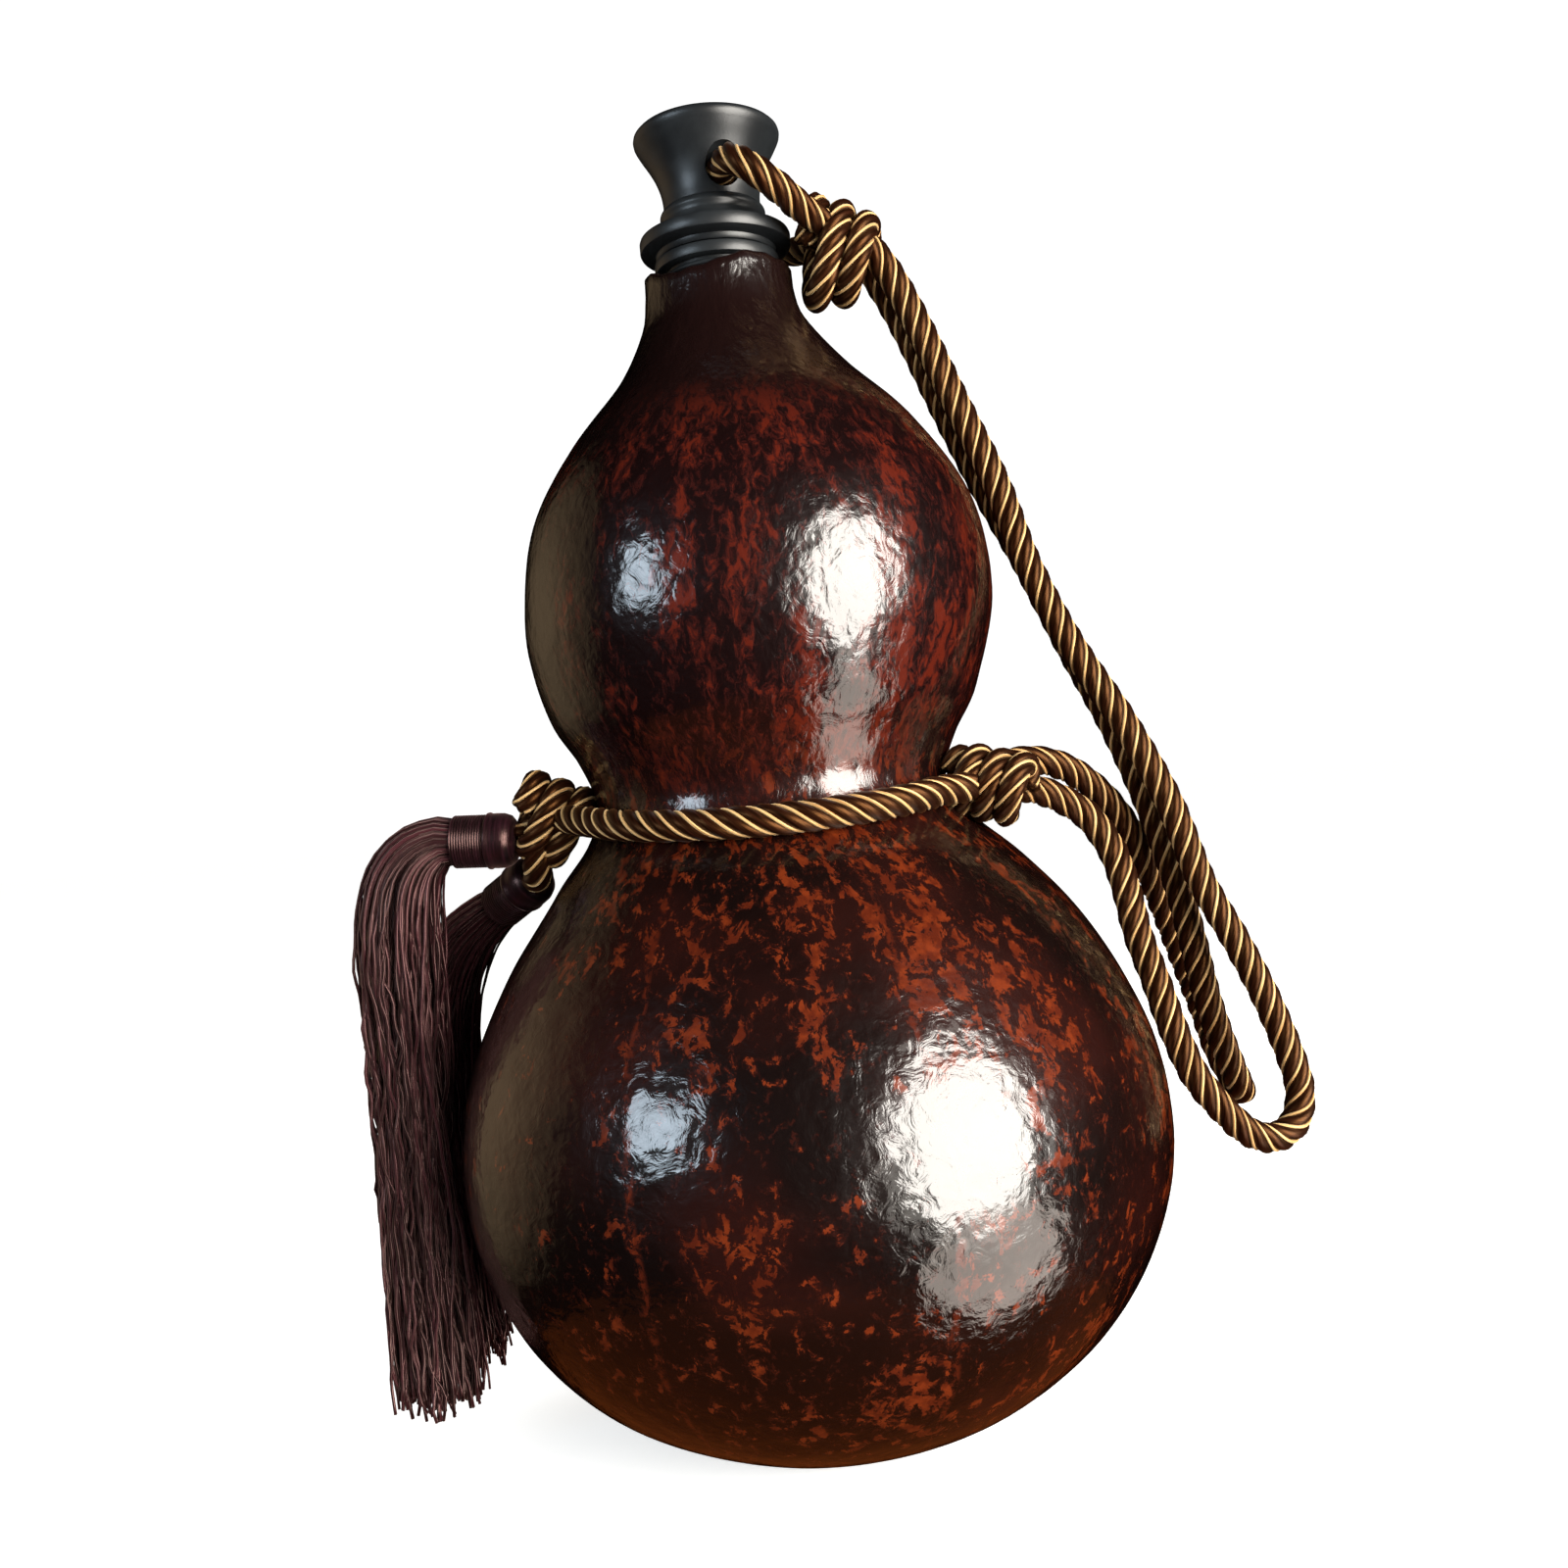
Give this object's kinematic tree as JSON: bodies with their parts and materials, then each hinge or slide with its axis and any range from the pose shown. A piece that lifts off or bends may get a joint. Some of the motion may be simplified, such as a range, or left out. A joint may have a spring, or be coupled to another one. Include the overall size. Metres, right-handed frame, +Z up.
{
  "type": "bottle gourd flask",
  "caption": "Dried double-lobed gourd flask with a lacquered rind, a flared push-in stopper, and a twisted cord tied round its waist that ends in silk tassels.",
  "frame": {"origin": "on the surface that the gourd stands on, under the middle of its belly", "axes": "+Z up through the belly, the waist and the neck; -Y is the front; +X is the side where the lanyard hangs"},
  "size_m": [0.147, 0.1094, 0.204],
  "materials": {
    "lacquered_rind": "mottled red-brown and near-black rind under clear glossy lacquer",
    "black_plastic": "charcoal, satin",
    "twisted_silk": "twisted brown silk strands with pale gold threads between them",
    "tassel_silk": "loose dark plum-brown silk threads with a soft shine"
  },
  "bodies": {
    "root": {"gourd_shell": "lacquered_rind", "mouth_bush": "black_plastic", "stopper": "black_plastic", "stopper_loop_cord": "twisted_silk", "stopper_knot": "twisted_silk", "lanyard_cord_front": "twisted_silk", "lanyard_cord_rear": "twisted_silk", "waist_knot_right": "twisted_silk", "waist_cord_front": "twisted_silk", "waist_cord_rear": "twisted_silk", "waist_knot_left": "twisted_silk", "tassel_head_front": "tassel_silk", "tassel_skirt_front": "tassel_silk", "tassel_head_rear": "tassel_silk", "tassel_skirt_rear": "tassel_silk"}
  },
  "joints": []
}
